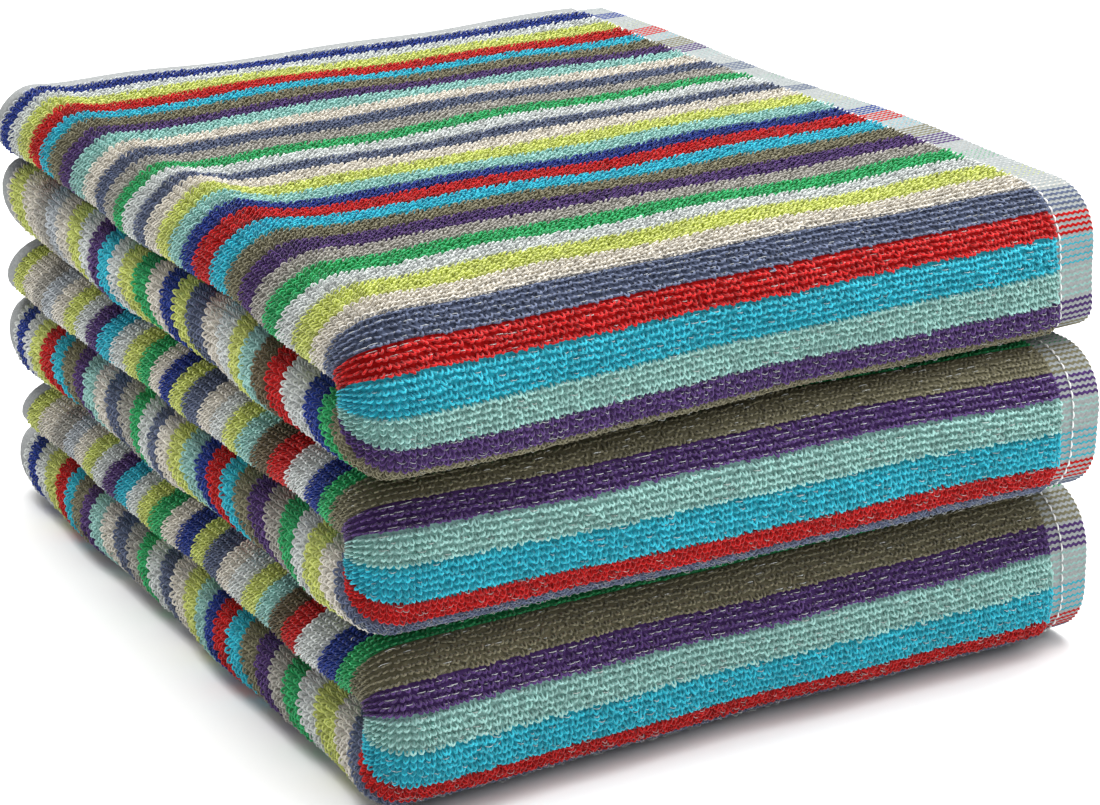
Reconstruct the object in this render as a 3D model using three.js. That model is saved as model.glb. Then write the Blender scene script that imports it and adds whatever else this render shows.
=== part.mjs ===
// A set of three striped terry towels, folded and stacked. Millimetres, +Z up,
// the folded front edge towards -Y, the sewn hems towards +X.
//
// Each towel is one real sheet. Its length is folded in four, so that both hems
// end on the right and two turns lie inside each other on the left. That pack
// of four layers is then folded in half across its width, round the front edge.

import * as THREE from 'three';

// Driving dimensions
const PACK_LENGTH = 212;      // left turn to outer hem, along X
const CLOTH_WIDTH = 492;      // selvedge to selvedge, before the last fold
const LAYER_PITCH = 5.2;      // one layer of cloth with the air on it
const TERRY_THICKNESS = 4.7;  // cloth with the pile on both faces
const BAND_THICKNESS = 2.2;   // flat-woven hem band, turned over and sewn down
const SELVEDGE_THICKNESS = 2.2;
const HEM_WIDTH = 12.5;
const SELVEDGE_WIDTH = 6;
const INNER_HEM_INSET = 2;    // the inner hem stops short of the outer one
const INNER_FOLD_INSET = 3.5; // and so does the turn between the inner layers
const CORE_RADIUS = 0.3;      // half the air left in the middle of the last fold
const SLACK_SHARE = 0.55;     // share of the inner layers' spare width left slack in the fold
const PIVOT_SETBACK = 108;    // front fold's axis to the point each towel is turned about
const THREAD_WIDTH = 0.9;
const THREAD_HEIGHT = 0.5;
const THREAD_INSET = 4;       // thread line to the terry, along the hem
const GAP = 0.3;              // air between two touching pieces

const TURN_STEPS = 6;         // facets round each turn of the length folds
const CORNER_STEPS = 4;       // facets round each corner of the front fold

// Three towels from the floor up, each set down by hand: a little off the one
// below, turned by a few degrees, and folded a few millimetres off the middle.
// The corners are the radii of the front fold's outer face above and below, and
// the tapers are how much narrower the pack is at its front and back edges.
const TOWELS = [
  { name: 'bottom', upperWidth: 242.6, corners: [19, 17], tapers: [3, 7], at: [3.5, -2], turn: -1.4 },
  { name: 'middle', upperWidth: 245.2, corners: [18, 16], tapers: [7, 2], at: [3, -4], turn: -3.6 },
  { name: 'top', upperWidth: 246.1, corners: [18, 9], tapers: [0, 11.5], at: [0, 0], turn: 0 },
];

// Worked out from them
const PACK_DEPTH = 4 * LAYER_PITCH;
const TOWEL_PITCH = 2 * (PACK_DEPTH + CORE_RADIUS);
const LAYER_AIR = (LAYER_PITCH - TERRY_THICKNESS) / 2;
const TURN_X = -PACK_LENGTH / 2 + 2 * LAYER_PITCH;
const RIGHT_X = PACK_LENGTH / 2;
const INNER_HEM_X = RIGHT_X - INNER_HEM_INSET;
const INNER_FOLD_X = RIGHT_X - LAYER_PITCH - INNER_FOLD_INSET;
const OUTER_RADIUS = CORE_RADIUS + 3.5 * LAYER_PITCH;
const FACE_RADIUS = CORE_RADIUS + PACK_DEPTH;
const PACK_REACH = CLOTH_WIDTH / 2 - OUTER_RADIUS * Math.PI / 2;

const HEM_COLOUR = 0xcfd2d6;
const THREAD_COLOUR = 0xf2f2f0;
const TERRY_COLOURS = { bottom: 0x4a8f96, middle: 0x6f5d86, top: 0xa8413f };

// The stops of the sheet along its length, as places in the pack: x, depth
// under the pack's outer face, and the direction of the sheet's outer face there.
function straight(x, layer, facing) {
  return { x, depth: layer * LAYER_PITCH, nx: 0, nd: facing };
}

function turn(centreX, centreLayer, radius, side, from, outward) {
  const stops = [];
  for (let i = 1; i < TURN_STEPS; i += 1) {
    const angle = Math.PI * i / TURN_STEPS;
    const nx = side * Math.sin(angle);
    const nd = from * Math.cos(angle);
    stops.push({
      x: centreX + radius * nx,
      depth: centreLayer * LAYER_PITCH + radius * nd,
      nx: outward * nx,
      nd: outward * nd,
    });
  }
  return stops;
}

const TERRY_STOPS = [
  straight(RIGHT_X - HEM_WIDTH - GAP, 0.5, -1),
  straight(TURN_X, 0.5, -1),
  ...turn(TURN_X, 2, 1.5 * LAYER_PITCH, -1, -1, 1),
  straight(TURN_X, 3.5, 1),
  straight(INNER_FOLD_X, 3.5, 1),
  ...turn(INNER_FOLD_X, 3, 0.5 * LAYER_PITCH, 1, 1, 1),
  straight(INNER_FOLD_X, 2.5, -1),
  straight(TURN_X, 2.5, -1),
  ...turn(TURN_X, 2, 0.5 * LAYER_PITCH, -1, 1, -1),
  straight(TURN_X, 1.5, 1),
  straight(INNER_HEM_X - HEM_WIDTH - GAP, 1.5, 1),
];
const OUTER_HEM_STOPS = [straight(RIGHT_X, 0.5, -1), straight(RIGHT_X - HEM_WIDTH, 0.5, -1)];
const INNER_HEM_STOPS = [
  straight(INNER_HEM_X - HEM_WIDTH, 1.5, 1),
  straight(INNER_HEM_X, 1.5, 1),
];

function threadStops(hemStops) {
  const terrySide = hemStops[0].nd < 0 ? hemStops[1] : hemStops[0];
  const x = terrySide.x + THREAD_INSET;
  const first = { ...terrySide, x: x + THREAD_WIDTH / 2 };
  const last = { ...terrySide, x: x - THREAD_WIDTH / 2 };
  return terrySide.nd < 0 ? [first, last] : [last, first];
}

// The stops across the width: a place on a flat half, this far in from its
// selvedge, or an angle round one of the two corners of the front fold.
function acrossFold(inset) {
  const stops = [{ half: -1, inset }];
  for (let i = CORNER_STEPS; i >= 0; i -= 1) {
    stops.push({ half: -1, angle: Math.PI / 2 * i / CORNER_STEPS });
  }
  for (let i = 0; i <= CORNER_STEPS; i += 1) {
    stops.push({ half: 1, angle: Math.PI / 2 * i / CORNER_STEPS });
  }
  stops.push({ half: 1, inset });
  return stops;
}

// The corner's radius for a layer this far from the middle of the fold. The
// innermost layers have no room for one, so theirs is cut off at the core's.
function cornerRadius(corner, reach) {
  return Math.min(Math.max(corner - FACE_RADIUS + reach, CORE_RADIUS), reach);
}

// How much cloth a layer takes up from the middle of the front to its flat
// half, and where that half then starts, both left in step from layer to layer.
function clothInCorner(corner, reach) {
  const middle = corner - FACE_RADIUS + OUTER_RADIUS;
  const own = corner - FACE_RADIUS + reach;
  const slack = (OUTER_RADIUS + middle * (Math.PI / 2 - 1)) * SLACK_SHARE;
  return slack + (reach + own * (Math.PI / 2 - 1)) * (1 - SLACK_SHARE);
}

// Places one point of the pack in the folded towel. Each layer goes round the
// front fold at its own reach, so the inner layers come out further at the back.
function foldPoint(x, depth, stop, spec) {
  const reach = CORE_RADIUS + PACK_DEPTH - depth;
  const corner = spec.corners[stop.half < 0 ? 0 : 1];
  const radius = cornerRadius(corner, reach);
  let y = corner - FACE_RADIUS;
  let height = reach;
  if (stop.angle === undefined) {
    const halfWidth = stop.half < 0 ? spec.upperWidth : CLOTH_WIDTH - spec.upperWidth;
    y += halfWidth - stop.inset - clothInCorner(corner, reach);
  } else {
    y = radius - reach - radius * Math.cos(stop.angle);
    height += radius * (Math.sin(stop.angle) - 1);
  }
  const share = (y + OUTER_RADIUS) / (PACK_REACH + OUTER_RADIUS);
  const narrowing = spec.tapers[0] * (1 - share) + spec.tapers[1] * share;
  const leftness = (RIGHT_X - x) / PACK_LENGTH;
  return new THREE.Vector3(x + narrowing * leftness, y, -stop.half * height);
}

// A box laid along the stops, then bent: its X runs along the cloth, its Y
// across it, and its Z through its thickness.
function sheetGeometry(alongStops, acrossStops, low, high, spec) {
  const nu = alongStops.length - 1;
  const nv = acrossStops.length - 1;
  const geometry = new THREE.BoxGeometry(nu, nv, 1, nu, nv, 1);
  const position = geometry.getAttribute('position');
  for (let i = 0; i < position.count; i += 1) {
    const along = alongStops[Math.round(position.getX(i) + nu / 2)];
    const across = acrossStops[Math.round(position.getY(i) + nv / 2)];
    const offset = position.getZ(i) < 0 ? low : high;
    const x = along.x + offset * along.nx;
    const depth = along.depth + offset * along.nd;
    const point = foldPoint(x, depth, across, spec);
    position.setXYZ(i, point.x, point.y, point.z);
  }
  geometry.computeVertexNormals();
  return geometry;
}

function piece(name, geometry, colour, roughness) {
  const material = new THREE.MeshStandardMaterial({ color: colour, roughness, metalness: 0 });
  const mesh = new THREE.Mesh(geometry, material);
  mesh.name = name;
  return mesh;
}

function hemWithSeam(name, hemStops, spec) {
  const half = BAND_THICKNESS / 2;
  const foot = half + GAP;
  const threads = threadStops(hemStops);
  const hem = sheetGeometry(hemStops, acrossFold(0), -half, half, spec);
  const seam = sheetGeometry(threads, acrossFold(SELVEDGE_WIDTH), foot, foot + THREAD_HEIGHT, spec);
  return [
    piece(`${name}_hem`, hem, HEM_COLOUR, 0.85),
    piece(`${name}_hem_seam`, seam, THREAD_COLOUR, 0.6),
  ];
}

function selvedge(name, half, spec) {
  const edge = { half, inset: 0 };
  const inner = { half, inset: SELVEDGE_WIDTH - GAP };
  const across = half < 0 ? [edge, inner] : [inner, edge];
  const thick = SELVEDGE_THICKNESS / 2;
  const strip = sheetGeometry(TERRY_STOPS, across, -thick, thick, spec);
  return piece(name, strip, HEM_COLOUR, 0.85);
}

function towel(spec, level) {
  const { name } = spec;
  const terry = TERRY_THICKNESS / 2;
  const cloth = sheetGeometry(TERRY_STOPS, acrossFold(SELVEDGE_WIDTH), -terry, terry, spec);
  const pieces = [
    piece(`${name}_towel_cloth`, cloth, TERRY_COLOURS[name], 0.95),
    ...hemWithSeam(`${name}_towel_outer`, OUTER_HEM_STOPS, spec),
    ...hemWithSeam(`${name}_towel_inner`, INNER_HEM_STOPS, spec),
    selvedge(`${name}_towel_upper_selvedge`, -1, spec),
    selvedge(`${name}_towel_lower_selvedge`, 1, spec),
  ];
  for (const mesh of pieces) {
    mesh.geometry.translate(0, -PIVOT_SETBACK, 0);
    mesh.geometry.rotateZ(THREE.MathUtils.degToRad(spec.turn));
    mesh.geometry.translate(...spec.at, (level + 0.5) * TOWEL_PITCH - LAYER_AIR);
  }
  return pieces;
}

const group = new THREE.Group();
TOWELS.forEach((spec, level) => group.add(...towel(spec, level)));

// The origin is the middle of the stack's footprint, on the floor.
const box = new THREE.Box3().setFromObject(group, true);
group.position.x = -(box.min.x + box.max.x) / 2;
group.position.y = -(box.min.y + box.max.y) / 2;

export default group;
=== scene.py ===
"""Three folded striped terry towels in a stack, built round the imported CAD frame.

Each towel is one folded sheet with its pile as real loops of yarn. A point of the
cloth is (u, s, rise): u runs along the length from the outer hem, s across the
width from the front crease (negative on the upper half), rise out of the cloth.
The fold functions work in millimetres, and meshes are made in metres.
"""

import math

import bpy
import numpy as np
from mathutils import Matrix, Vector


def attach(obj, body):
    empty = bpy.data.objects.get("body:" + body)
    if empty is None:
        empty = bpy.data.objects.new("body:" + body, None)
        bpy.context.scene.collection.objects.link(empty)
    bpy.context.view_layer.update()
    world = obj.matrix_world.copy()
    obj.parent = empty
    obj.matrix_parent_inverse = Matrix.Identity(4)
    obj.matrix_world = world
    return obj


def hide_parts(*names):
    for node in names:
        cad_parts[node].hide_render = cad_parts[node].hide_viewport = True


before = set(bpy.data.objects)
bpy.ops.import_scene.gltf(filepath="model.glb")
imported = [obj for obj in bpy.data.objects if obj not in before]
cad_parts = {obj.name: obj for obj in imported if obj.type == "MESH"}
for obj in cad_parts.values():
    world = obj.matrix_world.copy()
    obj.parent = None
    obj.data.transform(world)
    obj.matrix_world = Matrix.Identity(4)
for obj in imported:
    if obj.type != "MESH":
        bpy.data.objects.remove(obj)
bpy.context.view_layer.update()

MM = 0.001
DRAW = np.random.default_rng(11)

# The folded cloth, as in the CAD model (mm)
PACK_LENGTH = 212.0
CLOTH_WIDTH = 492.0
LAYER_PITCH = 5.2
TERRY_THICKNESS = 4.7
BAND_THICKNESS = 2.2
HEM_WIDTH = 12.5
SELVEDGE_WIDTH = 6.0
INNER_HEM_INSET = 2.0
INNER_FOLD_INSET = 3.5
CORE_RADIUS = 0.3
SLACK_SHARE = 0.55
PIVOT_SETBACK = 108.0
GAP = 0.3

PACK_DEPTH = 4 * LAYER_PITCH
RIGHT_X = PACK_LENGTH / 2
TURN_X = -RIGHT_X + 2 * LAYER_PITCH
INNER_FOLD_X = RIGHT_X - LAYER_PITCH - INNER_FOLD_INSET
OUTER_RADIUS = CORE_RADIUS + 3.5 * LAYER_PITCH
FACE_RADIUS = CORE_RADIUS + PACK_DEPTH
PACK_REACH = CLOTH_WIDTH / 2 - OUTER_RADIUS * math.pi / 2
TOWEL_PITCH = 2 * FACE_RADIUS
LAYER_AIR = (LAYER_PITCH - TERRY_THICKNESS) / 2
STACK_HEIGHT = 3 * TOWEL_PITCH
STACK_SHIFT = np.array([-5.11, 7.98])

# Where u stands at the end of each stretch: outer layer, outer turn, fourth
# layer, right-hand turn, third layer, inner turn, second layer
STRETCHES = [
    RIGHT_X - TURN_X,
    math.pi * 1.5 * LAYER_PITCH,
    INNER_FOLD_X - TURN_X,
    math.pi * 0.5 * LAYER_PITCH,
    INNER_FOLD_X - TURN_X,
    math.pi * 0.5 * LAYER_PITCH,
    RIGHT_X - INNER_HEM_INSET - TURN_X,
]
STOPS = np.concatenate([[0.0], np.cumsum(STRETCHES)])
CLOTH_LENGTH = STOPS[-1]

# The pile
ROW = CLOTH_WIDTH / 295
LOOP_PITCH = 1.42
TURN_LOOP_PITCH = 1.42
GROUND_RISE = 1.6
TURN_GROUND_RISE = 1.2
LOOP_TIP = 3.1
TURN_LOOP_TIP = 3.35
PRESSED_TIP = 2.3
YARN_RADIUS = 0.29
TURN_YARN_RADIUS = 0.25

# A loop's half width as a share of its pitch, its twist in radians and its lean,
# and how these change on the front and on the turns
LOOP_REACH = 0.42
TURN_REACH_CUT = 0.08
LOOP_TWIST = 0.45
FRONT_TWIST_CUT = 0.2
LOOP_LEAN = 0.15
FRONT_LEAN = 0.55
TURN_LEAN = 0.35

# How much loops differ from one another, and how much less on the turns
TWIST_SPREAD = 0.35
HEIGHT_SPREAD = 0.05
WIDTH_SPREAD = 0.08
LEAN_U_SPREAD = 0.2
LEAN_S_SPREAD = 0.25
PITCH_JITTER = 0.12
ROW_JITTER = 0.06
TURN_CALM = 0.55

# Steps along a loop's yarn and sides round it, where it can be seen and elsewhere
SEEN_LOOP = (7, 5)
HIDDEN_LOOP = (5, 3)

# The pale ground yarn that shows at the front
FLECK_RADIUS = 0.09
FLECK_PITCH = 2.6
FLECK_REACH = 34.0
FLECK_SCATTER = 1.2
FLECK_LENGTHS = (0.8, 2.4)
FLECK_RISES = (2.35, 2.95)

# Stitches of the hem seams, and the selvedge's rise towards the tips of the pile
STITCH_LENGTH = 2.1
STITCH_PITCH = 2.6
STITCH_RADIUS = 0.26
SELVEDGE_RAISE = 1.2

# How far the coloured ribs of the hem bands waver, and over what length
RIB_WAVER = 0.3
RIB_WAVER_LENGTH = 1.7

# Where the stack's front is and how far it reaches back, and the amounts by which
# it has settled away from a true fold
FRONT_Y = -129
STACK_REACH = 250
FRONT_RISE = 2.7
BACK_LEFT_SAG = 3.3
TOP_FRONT_DIP = 2
TOP_FRONT_HEIGHT = 104
CROWN = 0.6
BACK_CROWN = 0.9
FRONT_CROWN = 2.1
CROWN_X = -90
CROWN_DIP_X = -72
TOP_WAVE = 0.45
ROLL_WAVES = (0.9, 0.5)
FRONT_WAVES = (0.8, 0.35)

# From the floor up: the width of the upper half, the corners of the front fold,
# how much narrower the pack is at its front and back, where it was set down, its
# turn in degrees, whether the cloth is turned over, and how far each hem seam
# lies from the looped cloth
TOWELS = {
    "bottom": dict(
        level=0, upper=242.6, corners=(19, 17), tapers=(3, 7), at=(3.5, -2), turn=-1.4,
        turned=True, seam=4,
    ),
    "middle": dict(
        level=1, upper=245.2, corners=(18, 16), tapers=(7, 2), at=(3, -4), turn=-3.6,
        turned=True, seam=4,
    ),
    "top": dict(
        level=2, upper=246.1, corners=(18, 9), tapers=(0, 11.5), at=(0, 0), turn=0,
        turned=False, seam=1.2,
    ),
}

# Yarn colours, linear
YARNS = {
    "light_grey": (0.58, 0.605, 0.595),
    "navy": (0.012, 0.036, 0.24),
    "lime": (0.55, 0.60, 0.17),
    "red": (0.48, 0.006, 0.006),
    "cyan": (0.028, 0.44, 0.56),
    "olive": (0.20, 0.185, 0.115),
    "purple": (0.08, 0.036, 0.155),
    "mint": (0.30, 0.53, 0.49),
    "cream": (0.64, 0.605, 0.535),
    "slate": (0.105, 0.13, 0.21),
    "taupe": (0.37, 0.355, 0.32),
    "green": (0.03, 0.38, 0.13),
    "dark_olive": (0.13, 0.10, 0.055),
    "blue_grey": (0.47, 0.50, 0.53),
}
NAMES = list(YARNS)

# The share of places in a stripe where the pale ground yarn shows
FLECKS = {"purple": 0.7, "slate": 0.6, "red": 0.3, "cyan": 0.25, "navy": 0.25, "mint": 0.15, "olive": 0.15}

# Stripes from the first selvedge to the second: colour and rows of loops
STRIPES = """light_grey 5, navy 4, light_grey 4, lime 5, red 5, cyan 4, olive 5, purple 4,
mint 5, cream 5, slate 5, taupe 5, green 4, light_grey 5, slate 4, cream 5, lime 5, mint 5,
navy 4, red 5, cyan 5, olive 5, purple 5, taupe 5, green 5, light_grey 5, lime 6, cream 5,
slate 5, red 4, cyan 5, mint 5, purple 4, olive 6, green 4, navy 5, light_grey 7, red 5,
dark_olive 5, mint 5, lime 5, light_grey 5, cream 5, slate 6, lime 5, navy 5, cream 5,
green 5, lime 5, light_grey 5, cyan 5, purple 5, light_grey 5, lime 5, cream 5, blue_grey 5,
taupe 5, cream 6, lime 5, cream 5"""


def stripe_rows():
    """The index of each row's yarn, from the first selvedge."""
    rows = []
    for stripe in STRIPES.replace("\n", " ").split(", "):
        name, count = stripe.split()
        rows += [NAMES.index(name)] * int(count)
    return np.array(rows)


ROW_YARN = stripe_rows()


# ---------------------------------------------------------------- the fold


def pack_path(u):
    """Where the cloth lies in the pack of four layers: x, depth, and its outer face's direction."""
    stretch = np.clip(np.searchsorted(STOPS, u, side="right") - 1, 0, 6)
    along = u - STOPS[stretch]
    x, depth, face_x, face_depth = (np.zeros_like(u) for _ in range(4))
    # flat layer: its depth in layers, which way it runs and faces, where it starts
    layers = {
        0: (0.5, -1, RIGHT_X),
        2: (3.5, 1, TURN_X),
        4: (2.5, -1, INNER_FOLD_X),
        6: (1.5, 1, TURN_X),
    }
    for index, (layer, facing, start) in layers.items():
        on = stretch == index
        x[on] = start + facing * along[on]
        depth[on] = layer * LAYER_PITCH
        face_depth[on] = facing
    # turn: centre x, centre layer, radius in layers, side, first direction, which face is outside
    turns = {
        1: (TURN_X, 2, 1.5, -1, -1, 1),
        3: (INNER_FOLD_X, 3, 0.5, 1, 1, 1),
        5: (TURN_X, 2, 0.5, -1, 1, -1),
    }
    for index, (centre, layer, size, side, first, outside) in turns.items():
        on = stretch == index
        radius = size * LAYER_PITCH
        angle = along[on] / radius
        out_x, out_depth = side * np.sin(angle), first * np.cos(angle)
        x[on] = centre + radius * out_x
        depth[on] = layer * LAYER_PITCH + radius * out_depth
        face_x[on] = outside * out_x
        face_depth[on] = outside * out_depth
    return x, depth, face_x, face_depth


def front_profile(towel, depth, s):
    """The front fold: a corner above, a short flat face and a corner below.

    Returns y and z from the fold axis, and the angle of the face, from -90 degrees
    where it looks up to 90 where it looks down.
    """
    reach = CORE_RADIUS + PACK_DEPTH - depth
    places = []
    for side, corner in zip((-1, 1), towel["corners"]):
        own = corner - FACE_RADIUS + reach
        radius = np.minimum(np.maximum(own, CORE_RADIUS), reach)
        middle = corner - FACE_RADIUS + OUTER_RADIUS
        slack = OUTER_RADIUS + middle * (math.pi / 2 - 1)
        used = SLACK_SHARE * slack + (1 - SLACK_SHARE) * (reach + own * (math.pi / 2 - 1)) + radius - own
        length = side * s
        travel = np.clip(length / used, 0, 1) * (reach + radius * (math.pi / 2 - 1))
        face = reach - radius
        bent = np.clip((travel - face) / radius, 0, math.pi / 2)
        y = radius * (1 - np.cos(bent)) - reach + np.maximum(length - used, 0)
        z = -side * (np.minimum(travel, face) + radius * np.sin(bent))
        places.append((y, z, side * bent))
    return [np.where(s < 0, upper, lower) for upper, lower in zip(*places)]


def hill(t, middle, width):
    """A smooth bump of height 1."""
    return np.exp(-(((t - middle) / width) ** 2))


def settle(x, y, z):
    """How the stack has sagged and puffed up: soft differences from a true fold."""
    px, py = x - STACK_SHIFT[0], y - STACK_SHIFT[1]
    left = np.clip((RIGHT_X - px) / PACK_LENGTH, 0, 1)
    back = np.clip((py - FRONT_Y) / STACK_REACH, 0, 1)
    level = np.clip(z / STACK_HEIGHT, 0, 1)
    sag = np.sin(math.pi * level)
    dz = sag * (FRONT_RISE * (1 - back) - BACK_LEFT_SAG * left * back)
    # the crown of the top towel's left roll, and the dip beside it
    puff = np.clip((z - 2 * TOWEL_PITCH) / TOWEL_PITCH, 0, 1) ** 1.5
    crown = CROWN + BACK_CROWN * hill(py, 88, 20) + FRONT_CROWN * hill(py, -18, 26)
    dz = dz + puff * crown * (hill(px, CROWN_X, 8) - 0.25 * hill(px, CROWN_DIP_X, 11))
    dz = dz - TOP_FRONT_DIP * left * (1 - back) * hill(z, TOP_FRONT_HEIGHT, 14)
    small = TOP_WAVE * np.sin(px / 11 + 0.6) * np.sin(py / 17 + 1.0)
    dz = dz + level * (small + TOP_WAVE * np.sin(px / 29 + py / 23))
    rolls = left**6
    long_wave, short_wave = np.sin(py / 16 + z / 10), np.sin(py / 7.3 + z / 17 + 2)
    dx = rolls * (ROLL_WAVES[0] * long_wave + ROLL_WAVES[1] * short_wave)
    fronts = (1 - back) ** 8
    long_wave, short_wave = np.sin(px / 23 + z / 13 + 1), np.sin(px / 9 + z / 7)
    dy = fronts * (FRONT_WAVES[0] * long_wave + FRONT_WAVES[1] * short_wave)
    return x + dx, y + dy, np.maximum(z + dz, 0)


def cloth_point(towel, u, s, rise):
    """Points of the folded towel in the frame, in metres."""
    u, s, rise = np.broadcast_arrays(np.asarray(u, float), np.asarray(s, float), np.asarray(rise, float))
    shape = u.shape
    u, s, rise = u.ravel(), s.ravel(), rise.ravel()
    x, depth, face_x, face_depth = pack_path(u)
    x = x + rise * face_x
    depth = depth + rise * face_depth
    y, z, _ = front_profile(towel, depth, s)
    share = (y + OUTER_RADIUS) / (PACK_REACH + OUTER_RADIUS)
    narrowing = towel["tapers"][0] * (1 - share) + towel["tapers"][1] * share
    x = x + narrowing * (RIGHT_X - x) / PACK_LENGTH
    y = y - PIVOT_SETBACK
    turn = math.radians(towel["turn"])
    placed_x = x * math.cos(turn) - y * math.sin(turn) + towel["at"][0] + STACK_SHIFT[0]
    placed_y = x * math.sin(turn) + y * math.cos(turn) + towel["at"][1] + STACK_SHIFT[1]
    placed_z = z + (towel["level"] + 0.5) * TOWEL_PITCH - LAYER_AIR
    points = np.stack(settle(placed_x, placed_y, placed_z), -1) * MM
    return points.reshape(*shape, 3)


def across(towel, s):
    """Distance from the first selvedge, where the stripes are counted from."""
    from_upper = towel["upper"] + s
    return CLOTH_WIDTH - from_upper if towel["turned"] else from_upper


def yarn_at(towel, s):
    row = np.clip((across(towel, s) / ROW).astype(int), 0, len(ROW_YARN) - 1)
    return ROW_YARN[row]


# ---------------------------------------------------------------- meshes


def add_mesh(name, points, quads, slots, materials):
    """A smooth-shaded object made of quads, with a material slot for each quad."""
    mesh = bpy.data.meshes.new(name)
    mesh.vertices.add(len(points))
    mesh.vertices.foreach_set("co", np.ascontiguousarray(points, np.float32).ravel())
    mesh.loops.add(quads.size)
    mesh.loops.foreach_set("vertex_index", np.ascontiguousarray(quads, np.int32).ravel())
    mesh.polygons.add(len(quads))
    mesh.polygons.foreach_set("loop_start", np.arange(0, quads.size, 4, dtype=np.int32))
    mesh.polygons.foreach_set("material_index", np.ascontiguousarray(slots, np.int32))
    mesh.polygons.foreach_set("use_smooth", np.ones(len(quads), bool))
    mesh.update(calc_edges=True)
    for material in materials:
        mesh.materials.append(material)
    obj = bpy.data.objects.new(name, mesh)
    bpy.context.scene.collection.objects.link(obj)
    return obj


def slab(high, low):
    """A closed sheet between two grids of points: points, quads and each quad's grid cell."""
    nu, ns = high.shape[:2]
    points = np.concatenate([high.reshape(-1, 3), low.reshape(-1, 3)])
    top = np.arange(nu * ns).reshape(nu, ns)
    under = top + nu * ns
    quads, cells = [], []

    def add(a, b, c, d, i, j):
        quads.append(np.stack([a, b, c, d], -1).reshape(-1, 4))
        cells.append(np.stack(np.broadcast_arrays(i, j), -1).reshape(-1, 2))

    i, j = np.meshgrid(np.arange(nu - 1), np.arange(ns - 1), indexing="ij")
    add(top[:-1, :-1], top[1:, :-1], top[1:, 1:], top[:-1, 1:], i, j)
    add(under[:-1, 1:], under[1:, 1:], under[1:, :-1], under[:-1, :-1], i, j)
    i, j = np.arange(nu - 1), np.arange(ns - 1)
    add(top[1:, 0], top[:-1, 0], under[:-1, 0], under[1:, 0], i, 0)
    add(top[:-1, -1], top[1:, -1], under[1:, -1], under[:-1, -1], i, ns - 2)
    add(top[0, :-1], top[0, 1:], under[0, 1:], under[0, :-1], 0, j)
    add(top[-1, 1:], top[-1, :-1], under[-1, :-1], under[-1, 1:], nu - 2, j)
    return points, np.concatenate(quads), np.concatenate(cells)


# ---------------------------------------------------------------- materials


def cloth_material(name, colour, roughness=0.9, sheen=0.28):
    material = bpy.data.materials.new(name)
    material.use_nodes = True
    shader = material.node_tree.nodes["Principled BSDF"]
    shader.inputs["Base Color"].default_value = (*colour, 1)
    shader.inputs["Roughness"].default_value = roughness
    shader.inputs["Specular IOR Level"].default_value = 0.12
    shader.inputs["Sheen Weight"].default_value = sheen
    shader.inputs["Sheen Roughness"].default_value = 0.5
    return material


def woven(material, dark, light, scale):
    """Mottles the colour and bumps the surface finely, as a flat weave looks."""
    nodes, links = material.node_tree.nodes, material.node_tree.links
    shader = nodes["Principled BSDF"]
    place = nodes.new("ShaderNodeTexCoord")
    noise = nodes.new("ShaderNodeTexNoise")
    noise.inputs["Scale"].default_value = scale
    noise.inputs["Detail"].default_value = 3
    links.new(place.outputs["Object"], noise.inputs["Vector"])
    ramp = nodes.new("ShaderNodeValToRGB")
    ramp.color_ramp.elements[0].position = 0.3
    ramp.color_ramp.elements[1].position = 0.7
    ramp.color_ramp.elements[0].color = (*dark, 1)
    ramp.color_ramp.elements[1].color = (*light, 1)
    links.new(noise.outputs["Fac"], ramp.inputs["Fac"])
    links.new(ramp.outputs["Color"], shader.inputs["Base Color"])
    bump = nodes.new("ShaderNodeBump")
    bump.inputs["Strength"].default_value = 0.5
    bump.inputs["Distance"].default_value = 0.0004
    links.new(noise.outputs["Fac"], bump.inputs["Height"])
    links.new(bump.outputs["Normal"], shader.inputs["Normal"])
    return material


# Tones of one yarn from loop to loop and how often each comes, and the noise scales
# of the flat weaves
SHADES = (0.80, 1.0, 1.18)
SHADE_CHANCES = (0.25, 0.5, 0.25)
GROUND_WEAVE = 900
FINE_WEAVE = 1500


def pile_materials():
    made = []
    for name, colour in YARNS.items():
        for tone, shade in zip("dml", SHADES):
            shaded = tuple(min(c * shade, 0.95) for c in colour)
            made.append(cloth_material(f"pile_{name}_{tone}", shaded))
    return made


def ground_materials():
    made = []
    for name, colour in YARNS.items():
        # The yarn's colour darkened to between 0.55 and 0.9 of it: on the terry sheet this is painted
        # shade between the loops, and on the hem bands' ribs the same darker tones are the threads' own
        # colour
        low, high = (tuple(c * share for c in colour) for share in (0.55, 0.9))
        made.append(woven(cloth_material(f"ground_{name}", high, sheen=0), low, high, GROUND_WEAVE))
    return made


PILE = pile_materials()
GROUND = ground_materials()
BAND = woven(
    cloth_material("hem_ground", (0.28, 0.30, 0.30), sheen=0),
    (0.23, 0.25, 0.25), (0.33, 0.35, 0.35), FINE_WEAVE,
)
TAPE = woven(
    cloth_material("selvedge_weave", (0.26, 0.27, 0.27), sheen=0),
    (0.21, 0.22, 0.22), (0.31, 0.32, 0.32), FINE_WEAVE,
)
THREAD = cloth_material("sewing_thread", (0.85, 0.85, 0.84), 0.6)


# ---------------------------------------------------------------- pieces of a towel


def upper_and_lower(towel, inset):
    """Where the cloth's two long edges are in s, each moved inwards by the inset."""
    return -towel["upper"] + inset, CLOTH_WIDTH - towel["upper"] - inset


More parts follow.
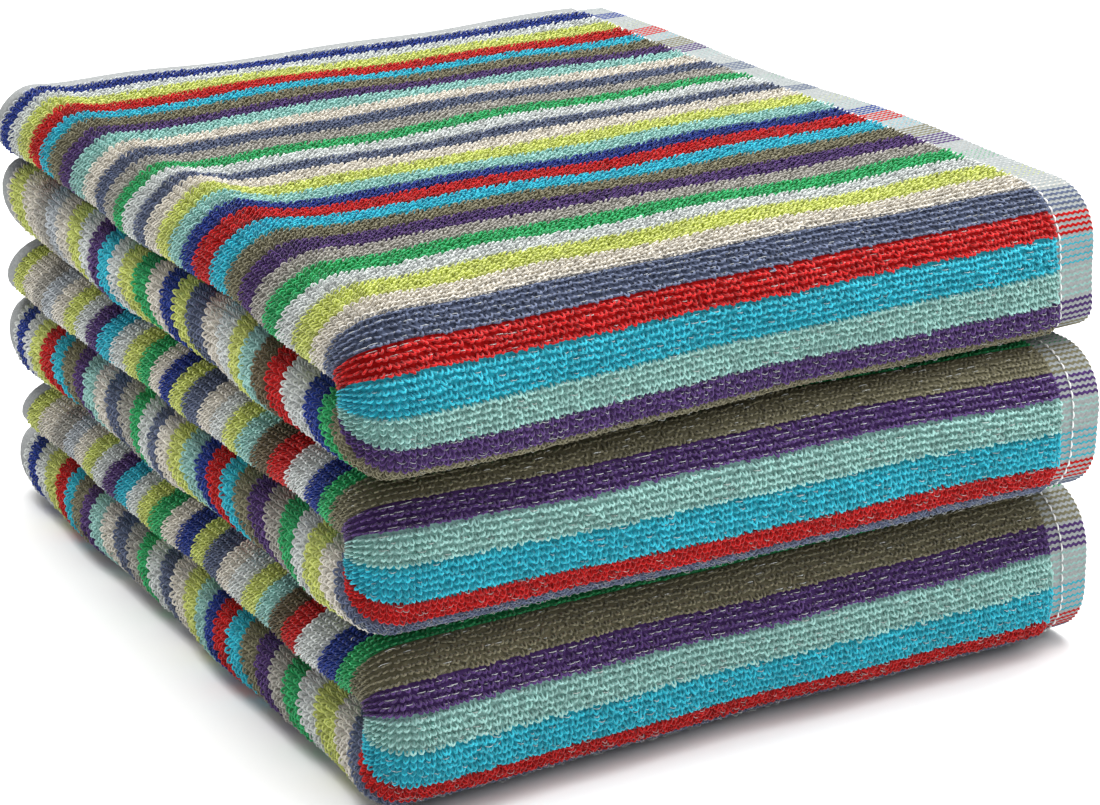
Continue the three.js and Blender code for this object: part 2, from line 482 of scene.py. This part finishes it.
def ground_sheet(name, towel):
    """The cloth's own sheet, sunk where loops stand on it and as thick as the pile elsewhere."""
    first, last = upper_and_lower(towel, SELVEDGE_WIDTH)
    us = np.linspace(HEM_WIDTH + GAP, CLOTH_LENGTH - HEM_WIDTH - GAP, 280)
    rows = int(round((last - first) / ROW))
    ss = np.linspace(first, last, rows + 1)
    u, s = np.meshgrid(us, ss, indexing="ij")
    bare = looped(us)[:, None] * np.ones_like(s)
    full = TERRY_THICKNESS / 2 - 0.15
    rise = full + (ground_rise(u) - full) * bare
    points, quads, cells = slab(cloth_point(towel, u, s, rise), cloth_point(towel, u, s, -full))
    middle = (ss[:-1] + ss[1:]) / 2
    # each row takes its yarn's darkened ground material, painted shade between the loops
    slots = yarn_at(towel, middle)[cells[:, 1]]
    return add_mesh(f"{name}_terry", points, quads, slots, GROUND)


# Where loops stand: the outer layer with the outer turn, and the right-hand turn
LOOPED_STRETCHES = [(HEM_WIDTH + 0.9, STOPS[2] + 12), (STOPS[3] - 10, STOPS[4] + 10)]


def on_turn(u):
    """1 on the outer left-hand turns, 0 on the flat layers."""
    return np.clip((u - STOPS[1] + 6) / 4, 0, 1) * np.clip((STOPS[2] + 2 - u) / 2, 0, 1)


def ground_rise(u):
    return GROUND_RISE + (TURN_GROUND_RISE - GROUND_RISE) * on_turn(u)


def looped(u):
    """1 where the outer face carries loops, falling to 0 within a few millimetres."""
    inside = np.zeros_like(u)
    for start, end in LOOPED_STRETCHES:
        inside = np.maximum(inside, np.clip((u - start + 3) / 2, 0, 1) * np.clip((end + 3 - u) / 2, 0, 1))
    return inside


def tubes(towel, centre, side, radius, sides):
    """Yarn along each row of cloth points in centre: points and quads, open at both ends."""
    n, steps = centre.shape[:2]
    tangent = np.gradient(centre, axis=1)
    tangent /= np.linalg.norm(tangent, axis=2, keepdims=True)
    side = side - tangent * (side * tangent).sum(2, keepdims=True)
    side /= np.linalg.norm(side, axis=2, keepdims=True)
    binormal = np.cross(tangent, side)
    radius = np.reshape(radius, (-1, 1, 1, 1))
    around = (np.arange(sides) * 2 * math.pi / sides)[:, None]
    ring = centre[:, :, None] + radius * (
        np.cos(around) * side[:, :, None] + np.sin(around) * binormal[:, :, None])
    points = cloth_point(towel, ring[..., 0], ring[..., 1], ring[..., 2]).reshape(-1, 3)
    cell = np.arange(steps * sides).reshape(steps, sides)
    wrapped = np.roll(cell, -1, axis=1)
    one = np.stack([cell[:-1], wrapped[:-1], wrapped[1:], cell[1:]], -1).reshape(-1, 4)
    quads = (one[None] + (np.arange(n) * steps * sides)[:, None, None]).reshape(-1, 4)
    return points, quads, len(one)


def loops(towel, spot, steps, sides):
    """Arches of yarn standing on the cloth: points, quads and slots."""
    n = len(spot["u"])

    def vary(middle, spread):
        return (middle + DRAW.normal(0, spread, n))[:, None]

    turn = np.linspace(-0.1 * math.pi, 1.1 * math.pi, steps)
    loose = spot["loose"]
    twist = vary(spot["twist"], TWIST_SPREAD * loose)
    base = spot["base"][:, None]
    height = (spot["tip"] - spot["radius"])[:, None] * vary(1, HEIGHT_SPREAD) - base
    width = -np.cos(turn) * spot["reach"][:, None] * vary(1, WIDTH_SPREAD)
    rise = np.sin(turn) * np.ones((n, 1))
    lift = np.maximum(rise, 0) ** 1.3
    centre = np.stack([
        spot["u"][:, None] + width * np.cos(twist) + vary(spot["lean_u"], LEAN_U_SPREAD * loose) * lift,
        spot["s"][:, None] + width * np.sin(twist) + vary(spot["lean_s"], LEAN_S_SPREAD * loose) * lift,
        base + height * rise,
    ], -1)
    side = np.stack([-np.sin(twist), np.cos(twist), np.zeros_like(twist)], -1) * np.ones_like(centre)
    points, quads, each = tubes(towel, centre, side, spot["radius"], sides)
    shade = DRAW.choice(len(SHADES), n, p=SHADE_CHANCES)
    return points, quads, np.repeat(spot["yarn"] * len(SHADES) + shade, each)


def ground_flecks(towel):
    """Bits of the pale ground yarn that show between the rows of loops at the front."""
    first = upper_and_lower(towel, SELVEDGE_WIDTH)[0]
    low_row, high_row = math.ceil(-(first + FLECK_REACH) / ROW), math.floor((FLECK_REACH - first) / ROW)
    rows = first + np.arange(low_row, high_row) * ROW + ROW / 2
    places = np.arange(HEM_WIDTH + 1, STOPS[1] + 8, FLECK_PITCH)
    u, s = (a.ravel() for a in np.meshgrid(places, rows, indexing="ij"))
    yarn = yarn_at(towel, s)
    chance = np.array([FLECKS.get(name, 0.02) for name in NAMES])[yarn]
    kept = DRAW.random(len(u)) < chance
    u = u[kept] + DRAW.uniform(-FLECK_SCATTER, FLECK_SCATTER, kept.sum())
    s = s[kept] + DRAW.normal(0, PITCH_JITTER, kept.sum())
    length = DRAW.uniform(*FLECK_LENGTHS, len(u))[:, None]
    t = np.linspace(0, 1, 4)
    rise = DRAW.uniform(*FLECK_RISES, len(u))[:, None] - 0.7 * (2 * t - 1) ** 2
    centre = np.stack([u[:, None] + t * length, s[:, None] + 0 * t * length, rise], -1)
    side = np.zeros_like(centre)
    side[..., 1] = 1
    points, quads, each = tubes(towel, centre, side, FLECK_RADIUS, 3)
    return points, quads, np.full(len(quads), NAMES.index("light_grey") * len(SHADES) + 1)


def pile(name, towel):
    first, last = upper_and_lower(towel, SELVEDGE_WIDTH)
    row_s = np.arange(first + ROW / 2, last, ROW)
    stretches = [
        (LOOPED_STRETCHES[0][0], STOPS[1] - 2, LOOP_PITCH),
        (STOPS[1] - 2, STOPS[2], TURN_LOOP_PITCH),
        (STOPS[2], LOOPED_STRETCHES[0][1], LOOP_PITCH),
        (*LOOPED_STRETCHES[1], LOOP_PITCH),
    ]
    us = np.concatenate([np.arange(*stretch) for stretch in stretches])
    spacing = np.concatenate([np.full(len(np.arange(*stretch)), stretch[2]) for stretch in stretches])
    u, s = (a.ravel() for a in np.meshgrid(us, row_s, indexing="ij"))
    spacing = np.repeat(spacing, len(row_s))
    u = u + DRAW.normal(0, PITCH_JITTER, len(u))
    s = s + DRAW.normal(0, ROW_JITTER, len(s))
    depth, face_x, face_depth = pack_path(u)[1:]
    angle = front_profile(towel, depth, s)[2]
    pressed = np.abs(face_depth * np.sin(angle)) ** 2
    # nothing lies on the top of the top towel, so its loops aren't pressed
    open_top = (name == "top_towel") & (u < STOPS[1] + 4) & (angle < 0)
    pressed = np.where(open_top, 0.0, pressed)
    front = np.cos(angle) * np.abs(face_depth)
    turned = on_turn(u)
    tip = LOOP_TIP + (TURN_LOOP_TIP - LOOP_TIP) * turned
    spot = dict(
        u=u, s=s, yarn=yarn_at(towel, s), base=ground_rise(u),
        reach=(LOOP_REACH - TURN_REACH_CUT * turned) * spacing,
        radius=YARN_RADIUS + (TURN_YARN_RADIUS - YARN_RADIUS) * turned,
        tip=tip - (tip - PRESSED_TIP) * pressed,
        twist=LOOP_TWIST - FRONT_TWIST_CUT * np.maximum(front, turned),
        loose=1 - TURN_CALM * turned, lean_s=LOOP_LEAN + FRONT_LEAN * front,
        lean_u=-TURN_LEAN * np.sin(angle) * np.abs(face_x),
    )
    seen = (u < STOPS[2] + 12) & ((pressed < 0.97) | open_top)
    parts = [
        loops(towel, {key: value[seen] for key, value in spot.items()}, *SEEN_LOOP),
        loops(towel, {key: value[~seen] for key, value in spot.items()}, *HIDDEN_LOOP),
        ground_flecks(towel),
    ]
    shifts = np.cumsum([0] + [len(part[0]) for part in parts[:-1]])
    points = np.concatenate([part[0] for part in parts])
    quads = np.concatenate([part[1] + shift for part, shift in zip(parts, shifts)])
    slots = np.concatenate([part[2] for part in parts])
    return add_mesh(f"{name}_pile", points, quads, slots, PILE)


# The yarns whose lines stay broad on the hem bands
STRONG = np.array([name in ("slate", "navy", "red", "purple", "olive", "dark_olive") for name in NAMES])


def zigzag(u):
    """How far the ribs of a hem band stand aside at each place along it."""
    return RIB_WAVER * (np.abs((u / RIB_WAVER_LENGTH) % 1.0 - 0.5) * 4 - 1)


def hem_band(name, towel, u_start, outer):
    """A ribbed flat band whose ribs carry the stripe colours on pale ground."""
    first, last = upper_and_lower(towel, 0)
    us = u_start + np.linspace(0, HEM_WIDTH, 31 if outer else 8)
    per_row = 4 if outer else 2
    count = int(round((last - first) / ROW)) * per_row
    ss = np.linspace(first, last, count + 1)
    u, s = np.meshgrid(us, ss, indexing="ij")
    inside = np.clip(np.minimum(s - first, last - s) / 2, 0, 1)
    s_bent = s + zigzag(u) * inside * outer
    phase = (np.arange(count + 1) % per_row) / per_row
    rib = 0.5 - 0.5 * np.cos(2 * math.pi * phase)[None, :]
    half = BAND_THICKNESS / 2
    high = half - 0.25 + 0.35 * rib * np.ones_like(u)
    points, quads, cells = slab(
        cloth_point(towel, u, s_bent, high), cloth_point(towel, u, s_bent, -high))
    middle = (ss[:-1] + ss[1:]) / 2
    yarn = yarn_at(towel, middle)
    if outer:
        step = np.arange(count) % per_row
        coloured = (step == 1) | ((step == 2) & STRONG[yarn])
    else:
        coloured = np.arange(count) % 2 == 1
    slot = np.where(coloured, yarn, len(GROUND))
    return add_mesh(name, points, quads, slot[cells[:, 1]], [*GROUND, BAND])


def stitches(name, towel, u_line):
    """A row of short thread stitches along a hem, on the cloth's outer face."""
    first, last = upper_and_lower(towel, SELVEDGE_WIDTH)
    starts = np.arange(first, last - STITCH_PITCH, STITCH_PITCH)
    steps, sides = 6, 6
    t = np.linspace(0, 1, steps)
    s = starts[:, None] + t[None] * STITCH_LENGTH
    lift = BAND_THICKNESS / 2 + 0.12 + 0.28 * np.sin(math.pi * t)[None] * np.ones_like(s)
    around = np.arange(sides) * 2 * math.pi / sides
    size = STITCH_RADIUS * np.sqrt(np.clip(np.sin(math.pi * (0.04 + 0.92 * t)), 0.02, 1))[None, :, None]
    u = u_line + size * np.cos(around) * np.ones_like(s)[..., None]
    rise = lift[..., None] + size * np.sin(around)
    points = cloth_point(towel, u, s[..., None], rise).reshape(-1, 3)
    cell = np.arange(steps * sides).reshape(steps, sides)
    wrapped = np.roll(cell, -1, axis=1)
    one = np.stack([cell[:-1], cell[1:], wrapped[1:], wrapped[:-1]], -1).reshape(-1, 4)
    quads = (one[None] + (np.arange(len(starts)) * steps * sides)[:, None, None]).reshape(-1, 4)
    return add_mesh(name, points, quads, np.zeros(len(quads)), [THREAD])


def selvedge(name, towel, side):
    """The flat woven tape along one long edge: side -1 is the upper half's, 1 the lower's."""
    first, last = upper_and_lower(towel, 0)
    ss = np.linspace(first, first + SELVEDGE_WIDTH - GAP, 9)
    if side > 0:
        ss = np.linspace(last - SELVEDGE_WIDTH + GAP, last, 9)
    us = np.linspace(HEM_WIDTH + GAP, CLOTH_LENGTH - HEM_WIDTH - GAP, 420)
    u, s = np.meshgrid(us, ss, indexing="ij")
    half = BAND_THICKNESS / 2
    edge = np.minimum(ss - ss[0], ss[-1] - ss) / 0.8
    thick = half * (0.55 + 0.45 * np.clip(edge, 0, 1))[None] * np.ones_like(u)
    high = cloth_point(towel, u, s, SELVEDGE_RAISE + thick)
    low = cloth_point(towel, u, s, SELVEDGE_RAISE - thick)
    points, quads, _ = slab(high, low)
    return add_mesh(name, points, quads, np.zeros(len(quads)), [TAPE])


def build_towel(key, towel):
    """One towel's visual pieces, each on the towel's body and in place of its CAD node."""
    name = body = f"{key}_towel"
    terry = ground_sheet(name, towel)
    tufts = pile(name, towel)
    outer = hem_band(f"{name}_outer_hem_band", towel, 0.0, True)
    inner = hem_band(f"{name}_inner_hem_band", towel, CLOTH_LENGTH - HEM_WIDTH, False)
    outer_line = HEM_WIDTH - towel["seam"]
    inner_line = CLOTH_LENGTH - HEM_WIDTH + towel["seam"]
    outer_seam = stitches(f"{name}_outer_hem_stitches", towel, outer_line)
    inner_seam = stitches(f"{name}_inner_hem_stitches", towel, inner_line)
    upper = selvedge(f"{name}_upper_selvedge_tape", towel, -1)
    lower = selvedge(f"{name}_lower_selvedge_tape", towel, 1)
    stands_for = {
        terry: ("cloth", "terry"),
        outer: ("outer_hem", "hem_band"),
        inner: ("inner_hem", "hem_band"),
        outer_seam: ("outer_hem_seam", "sewing_thread"),
        inner_seam: ("inner_hem_seam", "sewing_thread"),
        upper: ("upper_selvedge", "selvedge"),
        lower: ("lower_selvedge", "selvedge"),
    }
    for piece, (node, slot) in stands_for.items():
        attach(piece, body)
        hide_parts(f"{name}_{node}")
    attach(tufts, body)
    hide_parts(f"{name}_cloth")


# ---------------------------------------------------------------- camera, lights and floor


def add_camera():
    azimuth, elevation = math.radians(-31.65), math.radians(20.47)
    forward = Vector((
        -math.sin(azimuth) * math.cos(elevation),
        math.cos(azimuth) * math.cos(elevation),
        -math.sin(elevation),
    ))
    data = bpy.data.cameras.new("camera")
    data.lens = 101.5
    data.sensor_width = 36
    data.clip_start = 0.01
    camera = bpy.data.objects.new("camera", data)
    camera.location = (-0.4130, -0.6882, 0.3487)
    camera.rotation_euler = forward.to_track_quat("-Z", "Y").to_euler()
    bpy.context.scene.collection.objects.link(camera)
    bpy.context.scene.camera = camera


AIM = (0, 0, 0.05)


def add_area(name, place, size, power):
    data = bpy.data.lights.new(name, "AREA")
    data.shape = "RECTANGLE"
    data.size, data.size_y = size
    data.energy = power
    light = bpy.data.objects.new(name, data)
    light.location = place
    light.rotation_euler = (Vector(AIM) - Vector(place)).to_track_quat("-Z", "Y").to_euler()
    bpy.context.scene.collection.objects.link(light)


def add_studio():
    world = bpy.data.worlds.new("studio")
    bpy.context.scene.world = world
    world.use_nodes = True
    world.node_tree.nodes["Background"].inputs["Color"].default_value = (1, 1, 1, 1)
    world.node_tree.nodes["Background"].inputs["Strength"].default_value = 0.42
    add_area("key", (0.7, -0.7, 0.9), (0.9, 0.9), 7)
    add_area("overhead", (0.2, 0.3, 2.6), (2.6, 2.6), 150)
    bpy.context.scene.view_settings.view_transform = "Standard"
    bpy.ops.mesh.primitive_plane_add(size=8, location=(0, 0, -0.0004))
    floor = bpy.context.object
    floor.name = "floor"
    floor.data.materials.append(cloth_material("floor_paper", (0.9, 0.9, 0.9), 0.8, 0))


add_camera()
add_studio()
for key, spec in TOWELS.items():
    build_towel(key, spec)
